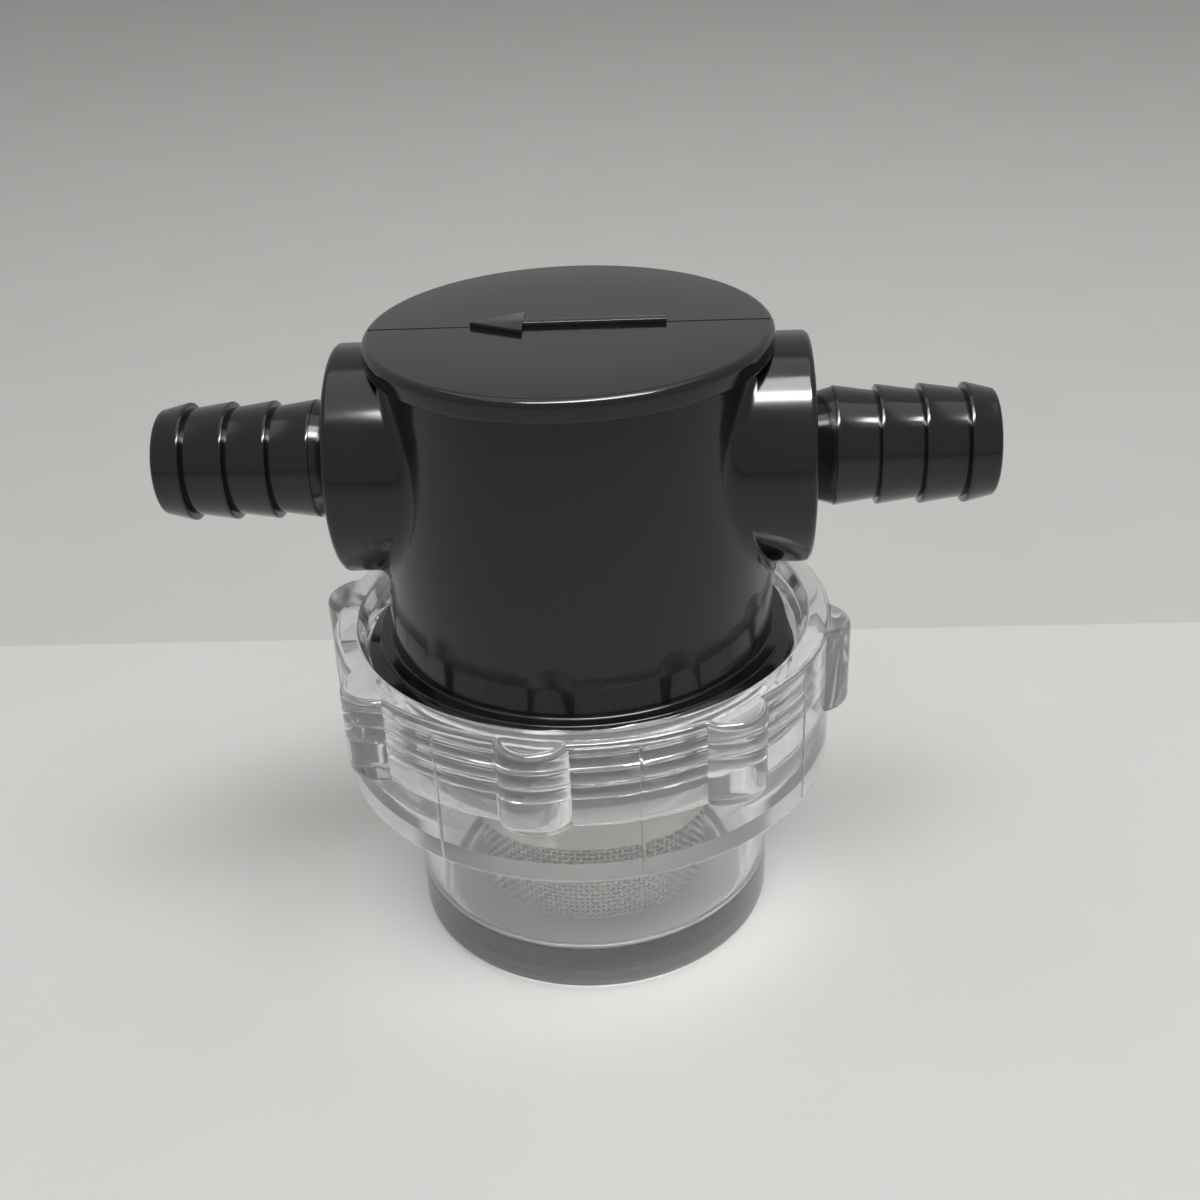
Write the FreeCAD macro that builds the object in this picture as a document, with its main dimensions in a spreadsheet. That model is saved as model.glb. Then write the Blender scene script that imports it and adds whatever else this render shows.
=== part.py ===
"""In-line sea water strainer: a moulded head with two hose tails, over a clear
screw-on bowl that holds a woven wire screen.

Millimetres, +Z up. The origin is the centre of the bowl's foot, the ports lie
along X, and water enters at +X and leaves at -X, as the arrow on the head says.
"""
import FreeCAD
import Part
import os
import Sketcher

DOC = FreeCAD.newDocument("strainer")
SHEET = DOC.addObject("Spreadsheet::Sheet", "Sizes")
VEC = FreeCAD.Vector

SIZES = {
    # Bowl: a cup under a wider threaded collar.
    "cup_radius": 23.2,
    "cup_wall": 2.4,
    "base_thick": 5.0,
    "foot_round": 1.4,
    "floor_round": 2.0,
    "collar_radius": 30.8,
    "collar_wall": 3.6,
    "collar_low": 23.2,
    "collar_high": 42.4,
    "collar_round": 0.6,
    "shelf_thick": 6.8,
    "mouth_flare": 0.6,
    "mouth_depth": 1.5,
    "lug_count": 8,
    "lug_width": 8.2,
    "lug_rise": 2.4,
    "lug_low": 31.1,
    "lug_phase": -8.5,
    "lug_round": 0.8,
    "rib_width": 0.5,
    "rib_rise": 0.25,
    # Screw thread between the bowl and the head.
    "thread_pitch": 2.0,
    "thread_depth": 1.45,
    "thread_gap": 0.45,
    "thread_crest": 0.5,
    "thread_base": 1.3,
    "thread_low": 3.2,
    "bowl_thread_rise": 7.0,
    "head_thread_rise": 6.0,
    # Head: a tapered body under a flat lid, with two bosses and a threaded skirt.
    "skirt_gap": 2.6,
    "skirt_high": 41.1,
    "pilot_drop": 2.2,
    "pilot_radius": 22.0,
    "body_foot_radius": 23.7,
    "body_waist_radius": 23.5,
    "body_waist_high": 53.0,
    "body_neck_radius": 21.3,
    "lid_radius": 23.4,
    "lid_thick": 2.6,
    "lid_round": 0.9,
    "head_high": 78.9,
    "roof_thick": 3.0,
    "chamber_radius": 20.2,
    "chamber_draft": 1.2,
    "port_high": 63.2,
    "boss_radius": 13.5,
    "boss_reach": 27.5,
    "boss_round": 0.7,
    "socket_radius": 10.5,
    "socket_depth": 11.0,
    "recess_radius": 11.4,
    "recess_depth": 2.0,
    "duct_radius": 14.05,
    "duct_wall": 2.4,
    "duct_low": 22.0,
    "passage_radius": 7.5,
    "passage_wall": 5.0,
    # Raised flow arrow on the lid, pointing to the outlet.
    "arrow_length": 22.4,
    "arrow_tip": 6.2,
    "arrow_span": 6.4,
    "arrow_stem": 1.3,
    "arrow_rise": 0.6,
    # Hose tails, screwed into the bosses on flat washers.
    "barb_bore": 4.9,
    "barb_crest": 7.0,
    "barb_root": 6.3,
    "barb_neck_radius": 6.2,
    "barb_neck": 2.7,
    "barb_pitch": 5.05,
    "barb_land": 0.35,
    "barb_lead": 3.65,
    "barb_lip": 0.6,
    "stub_clear": 0.1,
    "stub_chamfer": 0.8,
    "washer_thick": 1.0,
    # Seal ring round the head's pilot, and the screen that stands in the bowl.
    "seal_section": 1.28,
    "seal_clear": 0.12,
    "screen_radius": 15.0,
    "screen_wall": 0.5,
    "screen_height": 28.0,
    "screen_floor": 0.5,
    "band_thick": 0.5,
    "band_height": 13.4,
    "window_count": 24,
    "window_rows": 5,
    "window_width": 2.6,
    "window_height": 1.9,
    "window_step": 2.6,
}


class Size:
    """A length or angle that knows its number and the expression behind it."""

    def __init__(self, value, text):
        self.value = value
        self.text = text

    def __add__(self, other):
        other = as_size(other)
        return Size(self.value + other.value, "(" + self.text + " + " + other.text + ")")

    def __sub__(self, other):
        other = as_size(other)
        return Size(self.value - other.value, "(" + self.text + " - " + other.text + ")")

    def __mul__(self, other):
        other = as_size(other)
        return Size(self.value * other.value, "(" + self.text + " * " + other.text + ")")

    def __truediv__(self, other):
        other = as_size(other)
        return Size(self.value / other.value, "(" + self.text + " / " + other.text + ")")


def as_size(number):
    if isinstance(number, Size):
        return number
    return Size(float(number), repr(float(number)))


class Dimensions:
    """The sheet's values by name, each as a Size."""

    def __getattr__(self, alias):
        return Size(SIZES[alias], "Sizes." + alias)


for row, (alias, value) in enumerate(SIZES.items(), 1):
    SHEET.set("A" + str(row), alias)
    SHEET.set("B" + str(row), str(value))
    SHEET.setAlias("B" + str(row), alias)
DOC.recompute()
dim = Dimensions()

# Places that follow from the sizes above.
bowl_bore = dim.cup_radius - dim.cup_wall
shelf_high = dim.collar_low + dim.shelf_thick
nut_root = dim.collar_radius - dim.collar_wall
nut_crest = nut_root - dim.thread_depth
head_crest = nut_root - dim.thread_gap
head_root = head_crest - dim.thread_depth
skirt_low = shelf_high + dim.skirt_gap
pilot_low = skirt_low - dim.pilot_drop
roof_low = dim.head_high - dim.roof_thick
lid_low = dim.head_high - dim.lid_thick
duct_bore = dim.duct_radius - dim.duct_wall
duct_passage = dim.passage_radius + dim.passage_wall
stub_radius = dim.socket_radius - dim.stub_clear
washer_radius = dim.recess_radius - dim.stub_clear
stub_length = dim.socket_depth - dim.recess_depth - dim.stub_clear
bowl_thread_low = shelf_high + dim.thread_low
head_thread_low = bowl_thread_low + dim.thread_pitch / 2


def new_body(label):
    body = DOC.addObject("PartDesign::Body", label)
    body.Label = label
    return body


def origin_plane(body, role):
    for item in body.Origin.OriginFeatures:
        if item.Role == role:
            return item
    raise ValueError(role)


def new_sketch(body, role, name):
    sketch = body.newObject("Sketcher::SketchObject", name)
    sketch.AttachmentSupport = [(origin_plane(body, role), "")]
    sketch.MapMode = "FlatFace"
    return sketch


def hold(sketch, kind, geometry, point, size):
    """Fix one coordinate of a point, from the sketch's origin, to a size."""
    if abs(size.value) < 1e-9:
        axis = -2 if kind == "DistanceX" else -1
        sketch.addConstraint(Sketcher.Constraint("PointOnObject", geometry, point, axis))
        return
    index = sketch.addConstraint(Sketcher.Constraint(kind, -1, 1, geometry, point, size.value))
    sketch.setExpression("Constraints[" + str(index) + "]", size.text)


def outline(body, role, name, points):
    """A closed sketch of straight lines through points given as pairs of sizes."""
    sketch = new_sketch(body, role, name)
    points = [(as_size(across), as_size(up)) for across, up in points]
    total = len(points)
    for index in range(total):
        start = points[index]
        end = points[(index + 1) % total]
        sketch.addGeometry(Part.LineSegment(VEC(start[0].value, start[1].value, 0),
                                            VEC(end[0].value, end[1].value, 0)), False)
    for index in range(total):
        sketch.addConstraint(Sketcher.Constraint("Coincident", index, 2, (index + 1) % total, 1))
    for index, point in enumerate(points):
        hold(sketch, "DistanceX", index, 1, point[0])
        hold(sketch, "DistanceY", index, 1, point[1])
    return sketch


def circle(body, role, name, radius, across=0, up=0):
    """A sketch of one circle, its centre given by two sizes."""
    sketch = new_sketch(body, role, name)
    across = as_size(across)
    up = as_size(up)
    centre = VEC(across.value, up.value, 0)
    sketch.addGeometry(Part.Circle(centre, VEC(0, 0, 1), radius.value), False)
    hold(sketch, "DistanceX", 0, 3, across)
    hold(sketch, "DistanceY", 0, 3, up)
    index = sketch.addConstraint(Sketcher.Constraint("Radius", 0, radius.value))
    sketch.setExpression("Constraints[" + str(index) + "]", radius.text)
    return sketch


def turned(body, kind, sketch, name):
    """Revolve a profile about the vertical axis of its sketch."""
    feature = body.newObject("PartDesign::" + kind, name)
    feature.Profile = sketch
    feature.ReferenceAxis = (sketch, ["V_Axis"])
    feature.Angle = 360
    return feature


def round_bar(body, kind, name, radius, length, base, direction=None):
    """A cylinder, added or cut, from a base point along +Z or along +X or -X."""
    feature = body.newObject("PartDesign::" + kind + "Cylinder", name)
    feature.setExpression("Radius", radius.text)
    feature.setExpression("Height", length.text)
    if direction is not None:
        feature.Placement = FreeCAD.Placement(VEC(), FreeCAD.Rotation(VEC(0, 0, 1), direction))
    for letter, place in zip("xyz", base):
        place = as_size(place)
        feature.setExpression("Placement.Base." + letter, place.text)
    return feature


def ring_edges(shape, radius, height):
    """Names of the full circles of one radius about Z that lie at one height."""
    names = []
    for number, edge in enumerate(shape.Edges, 1):
        curve = edge.Curve
        if not isinstance(curve, Part.Circle):
            continue
        level = abs(curve.Center.z - height.value) < 1e-4
        if level and abs(curve.Radius - radius.value) < 1e-4:
            names.append("Edge" + str(number))
    return names


def rounded(body, base, name, edges, radius):
    feature = body.newObject("PartDesign::Fillet", name)
    feature.Base = (base, edges)
    feature.setExpression("Radius", radius.text)
    return feature


def thread(body, name, low, rise, foot_radius, crest_radius):
    """A helical ridge with its middle starting at a height, on the XZ plane."""
    half_base = dim.thread_base / 2
    half_crest = dim.thread_crest / 2
    profile = outline(body, "XZ_Plane", name + "_profile", [
        (foot_radius, low - half_base),
        (foot_radius, low + half_base),
        (crest_radius, low + half_crest),
        (crest_radius, low - half_crest)])
    ridge = body.newObject("PartDesign::AdditiveHelix", name)
    ridge.Profile = profile
    ridge.ReferenceAxis = (profile, ["V_Axis"])
    ridge.Mode = "pitch-height-angle"
    ridge.setExpression("Pitch", dim.thread_pitch.text)
    ridge.setExpression("Height", rise.text)
    return ridge


# ---------------------------------------------------------------- bowl
bowl = new_body("bowl")
turned(bowl, "Revolution", outline(bowl, "XZ_Plane", "bowl_outline", [
    (0, 0),
    (dim.cup_radius, 0),
    (dim.cup_radius, dim.collar_low),
    (dim.collar_radius - dim.collar_round, dim.collar_low),
    (dim.collar_radius, dim.collar_low + dim.collar_round),
    (dim.collar_radius, dim.collar_high - dim.collar_round),
    (dim.collar_radius - dim.collar_round, dim.collar_high),
    (0, dim.collar_high)]), "bowl_shell")

# Half-round grip lugs run down from the collar's top face.
lug_bulge = (dim.lug_width * dim.lug_width / 4 + dim.lug_rise * dim.lug_rise) / (dim.lug_rise * 2)
lug_centre = dim.collar_radius + dim.lug_rise - lug_bulge
lug_sketch = circle(bowl, "XY_Plane", "lug_outline", lug_bulge, lug_centre, 0)
lug_sketch.AttachmentOffset = FreeCAD.Placement(VEC(), FreeCAD.Rotation(VEC(0, 0, 1), dim.lug_phase.value))
lug_sketch.setExpression("AttachmentOffset.Rotation.Angle", dim.lug_phase.text)
lug_sketch.setExpression("AttachmentOffset.Base.z", dim.lug_low.text)
lug = bowl.newObject("PartDesign::Pad", "lug")
lug.Profile = lug_sketch
lug.setExpression("Length", (dim.collar_high - dim.lug_low).text)
lugs = bowl.newObject("PartDesign::PolarPattern", "lugs")
lugs.Originals = [lug]
lugs.Axis = (lug_sketch, ["N_Axis"])
lugs.Angle = 360
lugs.setExpression("Occurrences", dim.lug_count.text)
bowl.Tip = lugs
DOC.recompute()

# Fine mould lines stand midway between the lugs.
rib = bowl.newObject("PartDesign::AdditiveBox", "rib")
rib.setExpression("Length", (dim.rib_rise + dim.rib_width).text)
rib.setExpression("Width", dim.rib_width.text)
rib.setExpression("Height", (dim.collar_high - dim.collar_low - dim.collar_round * 2).text)
rib_turn = Size(180 / dim.lug_count.value + dim.lug_phase.value,
                "(180 / " + dim.lug_count.text + " + " + dim.lug_phase.text + ")")
rib.Placement = FreeCAD.Placement(VEC(), FreeCAD.Rotation(VEC(0, 0, 1), rib_turn.value))
rib_reach = dim.collar_radius - dim.rib_width
rib.setExpression("Placement.Rotation.Angle", rib_turn.text)
rib.setExpression("Placement.Base.x", rib_reach.text + " * cos(" + rib_turn.text + " * 1deg)")
rib.setExpression("Placement.Base.y", rib_reach.text + " * sin(" + rib_turn.text + " * 1deg)")
rib.setExpression("Placement.Base.z", (dim.collar_low + dim.collar_round).text)
ribs = bowl.newObject("PartDesign::PolarPattern", "ribs")
ribs.Originals = [rib]
ribs.Axis = (lug_sketch, ["N_Axis"])
ribs.Angle = 360
ribs.setExpression("Occurrences", dim.lug_count.text)
bowl.Tip = ribs
DOC.recompute()

# The cup's bore, the seal shelf, the thread bore and the flared mouth.
turned(bowl, "Groove", outline(bowl, "XZ_Plane", "bowl_bore_outline", [
    (0, dim.base_thick),
    (bowl_bore - dim.floor_round, dim.base_thick),
    (bowl_bore, dim.base_thick + dim.floor_round),
    (bowl_bore, shelf_high),
    (nut_root, shelf_high),
    (nut_root, dim.collar_high - dim.mouth_depth),
    (nut_root + dim.mouth_flare, dim.collar_high),
    (0, dim.collar_high)]), "bowl_bore_cut")
lug_reach = dim.collar_radius + dim.lug_rise
turned(bowl, "Groove", outline(bowl, "XZ_Plane", "lug_top_outline", [
    (lug_reach - dim.lug_round, dim.collar_high),
    (lug_reach + 1, dim.collar_high),
    (lug_reach + 1, dim.collar_high - dim.lug_round - 1)]), "lug_top_bevel")
turned(bowl, "Groove", outline(bowl, "XZ_Plane", "lug_low_outline", [
    (lug_reach - dim.lug_round, dim.lug_low),
    (lug_reach + 1, dim.lug_low),
    (lug_reach + 1, dim.lug_low + dim.lug_round + 1)]), "lug_low_bevel")
bowl_thread = thread(bowl, "bowl_thread", bowl_thread_low, dim.bowl_thread_rise,
                     nut_root + 0.1, nut_crest)
DOC.recompute()
foot_edges = ring_edges(bowl_thread.Shape, dim.cup_radius, as_size(0))
rounded(bowl, bowl_thread, "foot_soft", foot_edges, dim.foot_round)
DOC.recompute()

# ---------------------------------------------------------------- head
head = new_body("head")
turned(head, "Revolution", outline(head, "XZ_Plane", "head_outline", [
    (0, pilot_low),
    (dim.pilot_radius, pilot_low),
    (dim.pilot_radius, skirt_low),
    (head_root, skirt_low),
    (head_root, dim.skirt_high),
    (dim.body_foot_radius, dim.skirt_high),
    (dim.body_waist_radius, dim.body_waist_high),
    (dim.body_neck_radius, lid_low),
    (dim.lid_radius, lid_low),
    (dim.lid_radius, dim.head_high - dim.lid_round),
    (dim.lid_radius - dim.lid_round * 0.3, dim.head_high - dim.lid_round * 0.3),
    (dim.lid_radius - dim.lid_round, dim.head_high),
    (0, dim.head_high)]), "head_shell")
bosses = round_bar(head, "Additive", "bosses", dim.boss_radius, dim.boss_reach * 2,
                   (dim.boss_reach * -1, 0, dim.port_high), VEC(1, 0, 0))
DOC.recompute()

boss_rims = []
for number, edge in enumerate(bosses.Shape.Edges, 1):
    if not isinstance(edge.Curve, Part.Circle):
        continue
    if abs(abs(edge.Curve.Center.x) - dim.boss_reach.value) < 1e-4:
        boss_rims.append("Edge" + str(number))
boss_soft = head.newObject("PartDesign::Chamfer", "boss_soft")
boss_soft.Base = (bosses, boss_rims)
boss_soft.setExpression("Size", dim.boss_round.text)
DOC.recompute()

# Chamber, then the outlet duct that stands in it and the passage to the outlet.
turned(head, "Groove", outline(head, "XZ_Plane", "chamber_outline", [
    (0, pilot_low),
    (dim.chamber_radius, pilot_low),
    (dim.chamber_radius - dim.chamber_draft, roof_low - 2),
    (dim.chamber_radius - dim.chamber_draft - 2, roof_low),
    (0, roof_low)]), "chamber")
round_bar(head, "Additive", "duct", dim.duct_radius, roof_low + 0.5 - dim.duct_low,
          (0, 0, dim.duct_low))
round_bar(head, "Additive", "crossing", duct_passage, dim.chamber_radius + 1,
          (0, 0, dim.port_high), VEC(-1, 0, 0))
round_bar(head, "Subtractive", "duct_cut", duct_bore,
          dim.port_high + dim.passage_radius - dim.duct_low, (0, 0, dim.duct_low))
round_bar(head, "Subtractive", "passage", dim.passage_radius, dim.boss_reach,
          (0, 0, dim.port_high), VEC(-1, 0, 0))
for side, word in ((1, "inlet"), (-1, "outlet")):
    face = dim.boss_reach * side
    inward = VEC(-side, 0, 0)
    round_bar(head, "Subtractive", word + "_socket", dim.socket_radius, dim.socket_depth,
              (face, 0, dim.port_high), inward)
    round_bar(head, "Subtractive", word + "_recess", dim.recess_radius, dim.recess_depth,
              (face, 0, dim.port_high), inward)

# The arrow's stem and head in one outline, its tip toward -X.
half = dim.arrow_length / 2
neck = half * -1 + dim.arrow_tip
arrow_sketch = outline(head, "XY_Plane", "arrow_outline", [
    (half * -1, 0),
    (neck, dim.arrow_span / -2),
    (neck, dim.arrow_stem / -2),
    (half, dim.arrow_stem / -2),
    (half, dim.arrow_stem / 2),
    (neck, dim.arrow_stem / 2),
    (neck, dim.arrow_span / 2)])
arrow_sketch.setExpression("AttachmentOffset.Base.z", (dim.head_high - 0.5).text)
arrow = head.newObject("PartDesign::Pad", "arrow")
arrow.Profile = arrow_sketch
arrow.setExpression("Length", (dim.arrow_rise + 0.5).text)
thread(head, "head_thread", head_thread_low, dim.head_thread_rise,
       head_root - 0.1, head_crest)
DOC.recompute()


# ---------------------------------------------------------------- hose tails
def hose_tail(label, side):
    """A barbed tail: its own axis is Z, and its shoulder's outer face is at 0."""
    body = new_body(label)
    points = [
        (dim.barb_bore, stub_length * -1 - dim.washer_thick),
        (stub_radius - dim.stub_chamfer, stub_length * -1 - dim.washer_thick),
        (stub_radius, stub_length * -1 - dim.washer_thick + dim.stub_chamfer),
        (stub_radius, dim.washer_thick * -1),
        (washer_radius, dim.washer_thick * -1),
        (washer_radius, 0),
        (dim.barb_neck_radius, 0),
        (dim.barb_neck_radius, dim.barb_neck)]
    for number in range(4):
        start = dim.barb_neck + dim.barb_pitch * number
        points.append((dim.barb_crest, start))
        points.append((dim.barb_crest, start + dim.barb_land))
        if number < 3:
            points.append((dim.barb_root, start + dim.barb_pitch))
    start = dim.barb_neck + dim.barb_pitch * 3 + dim.barb_lead
    points.append((dim.barb_root, start - dim.barb_lip))
    points.append((dim.barb_root - dim.barb_lip, start))
    points.append((dim.barb_bore, start))
    turned(body, "Revolution", outline(body, "XZ_Plane", label + "_outline", points), label + "_turned")
    body.Placement = FreeCAD.Placement(VEC(), FreeCAD.Rotation(VEC(0, 0, 1), VEC(side, 0, 0)))
    body.setExpression("Placement.Base.x", (dim.boss_reach * side).text)
    body.setExpression("Placement.Base.z", dim.port_high.text)
    return body


def flat_washer(label, side):
    """The rubber washer under a tail's shoulder, at the bottom of the recess."""
    body = new_body(label)
    turned(body, "Revolution", outline(body, "XZ_Plane", label + "_outline", [
        (stub_radius + dim.stub_clear, dim.recess_depth * -1),
        (washer_radius, dim.recess_depth * -1),
        (washer_radius, dim.washer_thick * -1),
        (stub_radius + dim.stub_clear, dim.washer_thick * -1)]), label + "_turned")
    body.Placement = FreeCAD.Placement(VEC(), FreeCAD.Rotation(VEC(0, 0, 1), VEC(side, 0, 0)))
    body.setExpression("Placement.Base.x", (dim.boss_reach * side).text)
    body.setExpression("Placement.Base.z", dim.port_high.text)
    return body


inlet_tail = hose_tail("inlet_hose_tail", 1)
outlet_tail = hose_tail("outlet_hose_tail", -1)
inlet_washer = flat_washer("inlet_washer", 1)
outlet_washer = flat_washer("outlet_washer", -1)

# ---------------------------------------------------------------- bowl seal
bowl_seal = new_body("bowl_seal")
seal_sketch = circle(bowl_seal, "XZ_Plane", "seal_outline", dim.seal_section,
                     dim.pilot_radius + dim.seal_clear + dim.seal_section,
                     shelf_high + 0.02 + dim.seal_section)
turned(bowl_seal, "Revolution", seal_sketch, "seal_ring")

# ---------------------------------------------------------------- screen
screen_mesh = new_body("screen_mesh")
mesh_low = dim.base_thick + dim.screen_floor
turned(screen_mesh, "Revolution", outline(screen_mesh, "XZ_Plane", "mesh_outline", [
    (dim.screen_radius - dim.screen_wall, mesh_low),
    (dim.screen_radius, mesh_low),
    (dim.screen_radius, dim.base_thick + dim.screen_height),
    (dim.screen_radius - dim.screen_wall, dim.base_thick + dim.screen_height)]), "mesh_wall")
column = new_sketch(screen_mesh, "XZ_Plane", "window_outline")
for row in range(int(dim.window_rows.value)):
    first = row * 4
    low = mesh_low + dim.window_step * (row + 0.5)
    high = low + dim.window_height
    corners = [(dim.window_width / -2, low), (dim.window_width / 2, low),
               (dim.window_width / 2, high), (dim.window_width / -2, high)]
    for index in range(4):
        start = corners[index]
        end = corners[(index + 1) % 4]
        column.addGeometry(Part.LineSegment(VEC(start[0].value, start[1].value, 0),
                                            VEC(end[0].value, end[1].value, 0)), False)
    for index in range(4):
        column.addConstraint(Sketcher.Constraint("Coincident", first + index, 2,
                                                 first + (index + 1) % 4, 1))
        hold(column, "DistanceX", first + index, 1, corners[index][0])
        hold(column, "DistanceY", first + index, 1, corners[index][1])
window = screen_mesh.newObject("PartDesign::Pocket", "window")
window.Profile = column
window.setExpression("Length", (dim.screen_radius + 1).text)
windows = screen_mesh.newObject("PartDesign::PolarPattern", "windows")
windows.Originals = [window]
windows.Axis = (column, ["V_Axis"])
windows.Angle = 360
windows.Refine = False
windows.setExpression("Occurrences", dim.window_count.text)
screen_mesh.Tip = windows

screen_base = new_body("screen_base")
turned(screen_base, "Revolution", outline(screen_base, "XZ_Plane", "screen_base_outline", [
    (0, dim.base_thick),
    (dim.screen_radius, dim.base_thick),
    (dim.screen_radius, mesh_low),
    (0, mesh_low)]), "screen_base_disc")

screen_band = new_body("screen_band")
band_low = dim.base_thick + dim.screen_height - dim.band_height
turned(screen_band, "Revolution", outline(screen_band, "XZ_Plane", "band_outline", [
    (dim.screen_radius, band_low),
    (dim.screen_radius + dim.band_thick, band_low),
    (dim.screen_radius + dim.band_thick, dim.base_thick + dim.screen_height + dim.band_thick),
    (dim.screen_radius - dim.screen_wall, dim.base_thick + dim.screen_height + dim.band_thick),
    (dim.screen_radius - dim.screen_wall, dim.base_thick + dim.screen_height),
    (dim.screen_radius, dim.base_thick + dim.screen_height)]), "band_turned")
DOC.recompute()

PIECES = [bowl, head, inlet_tail, outlet_tail, inlet_washer, outlet_washer, bowl_seal,
          screen_mesh, screen_base, screen_band]
for item in DOC.Objects:
    if "Invalid" in item.State or "Error" in item.State:
        raise RuntimeError("failed feature: " + item.Name + " " + str(item.State))
for piece in PIECES:
    shape = piece.Shape
    if shape.isNull() or not shape.isValid() or len(shape.Solids) != 1:
        raise RuntimeError("bad solid: " + piece.Label)
os.makedirs("parts", exist_ok=True)
for piece in PIECES:
    piece.Shape.exportStep("parts/" + piece.Label + ".step")
    print(piece.Label, round(piece.Shape.Volume, 2), piece.Shape.BoundBox)
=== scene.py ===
"""In-line sea water strainer, dressed: a glossy black moulded head with two barbed
hose tails, over a clear screw-on bowl that holds a woven stainless screen.

Sizes are in millimetres in the part's own frame, +Z up, with the origin at the
centre of the bowl's foot and the ports along X. MM turns them to metres.
"""

import math

import bpy
from mathutils import Matrix, Vector


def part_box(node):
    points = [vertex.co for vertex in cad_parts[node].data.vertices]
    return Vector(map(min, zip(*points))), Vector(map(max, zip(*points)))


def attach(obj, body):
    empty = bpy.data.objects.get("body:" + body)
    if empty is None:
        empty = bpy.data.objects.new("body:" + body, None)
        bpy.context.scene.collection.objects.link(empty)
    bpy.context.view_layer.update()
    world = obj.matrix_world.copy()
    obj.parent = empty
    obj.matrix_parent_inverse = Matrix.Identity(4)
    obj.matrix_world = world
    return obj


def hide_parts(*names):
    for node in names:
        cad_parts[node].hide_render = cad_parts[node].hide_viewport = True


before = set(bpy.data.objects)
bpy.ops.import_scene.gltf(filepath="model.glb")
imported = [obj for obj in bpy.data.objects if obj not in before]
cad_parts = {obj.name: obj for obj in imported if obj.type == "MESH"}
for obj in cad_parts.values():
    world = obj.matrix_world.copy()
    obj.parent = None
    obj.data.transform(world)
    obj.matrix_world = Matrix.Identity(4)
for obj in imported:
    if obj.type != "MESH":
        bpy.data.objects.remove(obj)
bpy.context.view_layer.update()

MM = 0.001
TURN = 2 * math.pi

# In millimetres: points nearer than WELD are one, and a vertex nearer to a wall than NEAR
# lies on it.
WELD = 0.002
NEAR = 0.01


def top_of(node):
    """The height of a CAD node's top, in millimetres."""
    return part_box(node)[1].z / MM


def foot_of(node):
    """The height of a CAD node's underside, in millimetres."""
    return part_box(node)[0].z / MM


# Bowl: a cup under a wider threaded collar with eight grip lugs.
CUP_RADIUS = 23.2
CUP_BORE = 20.8
BASE_THICK = 5.0
FOOT_ROUND = 1.4
FLOOR_ROUND = 2.0
COLLAR_RADIUS = 30.8
COLLAR_LOW = 23.2
COLLAR_HIGH = top_of("bowl")
COLLAR_ROUND = 0.8
SHELF_HIGH = 30.0
NUT_ROOT = 27.2
MOUTH_FLARE = 0.6
MOUTH_DEPTH = 1.5
MOUTH_ROUND = 0.4
NECK_ROUND = 0.5
SHELF_ROUND = 0.3
SHELF_LIP_ROUND = 0.4
# The rows of faces on a plain wall begin and end this far inside its ends.
CUP_INSET = 1.0
COLLAR_INSET = 1.5
# The close rows that carry the thread begin this far above the shelf, over one plain row.
NUT_PLAIN_ROW = 1.0
NUT_ROWS_FROM = 2.0
MOUTH_MARGIN = 0.05
LUG_COUNT = 8
LUG_BULGE = 4.7
LUG_CENTRE = 28.5
LUG_LOW = 31.1
LUG_ROUND = 0.9
LUG_PHASE = -8.5
RIB_WIDTH = 0.45
RIB_RISE = 0.14
RIB_SINK = 1.0
RIB_ROUND = 0.12

# Screw thread: right-handed, the head's ridge half a pitch above the bowl's.
PITCH = 2.0
THREAD_DEPTH = 1.45
THREAD_CREST = 0.25
THREAD_BASE = 1.9
# Part of a turn over which each end of a ridge rises from the wall.
THREAD_FADE = 0.04
BOWL_THREAD_START = 33.2
BOWL_THREAD_TURNS = 3.5
HEAD_THREAD_START = 34.2
HEAD_THREAD_TURNS = 3.0
HEAD_ROOT = 25.3

# Head: a tapered body under a flat lid, with two bosses and a threaded skirt.
HEAD_HIGH = 78.9
SKIRT_LOW = 32.6
SKIRT_HIGH = 41.1
PILOT_LOW = 30.4
PILOT_RADIUS = 22.0
BODY_FOOT_RADIUS = 23.7
BODY_WAIST_RADIUS = 23.5
BODY_WAIST_HIGH = 53.0
BODY_NECK_RADIUS = 21.3
WAIST_BLEND = 3.0
LID_RADIUS = 23.4
LID_THICK = 2.6
LID_ROUND = 0.9
LID_UNDER_ROUND = 0.25
# The mould line stops short of the lid's rim by this share of the rim's round.
LINE_INSET = 0.6
LINE_WIDTH = 0.22
LINE_HEIGHT = 0.34
LINE_SINK = 0.1
LINE_ROUND = 0.06
CHAMBER_RADIUS = 20.2
CHAMBER_DRAFT = 1.2
ROOF_THICK = 3.0
ROOF_ROUND = 2.0
EDGE_ROUND = 0.3
ROOT_ROUND = 0.2
# The close rows that carry the thread keep this far inside the skirt's ends.
SKIRT_ROWS_FROM = 0.7
SKIRT_ROWS_TO = 0.25
PORT_HIGH = 63.2
BOSS_RADIUS = 13.5
BOSS_REACH = 27.5
BOSS_ROUND = 0.8
BOSS_FILLET = 1.2
BOSS_SINK = 0.3
SOCKET_RADIUS = 10.5
SOCKET_DEPTH = 11.0
SOCKET_LEDGE = 1.2
RECESS_RADIUS = 11.4
RECESS_DEPTH = 2.0
RECESS_CHAMFER = 0.2
# The hole through the body's wall is wider than the socket by this much all round.
WAY_CLEAR = 0.1
WAY_LENGTH = 60.0
DUCT_RADIUS = 14.05
DUCT_WALL = 2.4
DUCT_LOW = 22.0
DUCT_SINK = 0.5
ARROW_LENGTH = 22.4
ARROW_TIP = 6.2
ARROW_SPAN = 6.4
ARROW_STEM = 1.3
ARROW_RISE = 0.6
ARROW_SINK = 0.5
ARROW_ROUND = 0.14

# The sheet that the strainer stands on ends this far behind its middle.
SHEET_EDGE = 65.0
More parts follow.
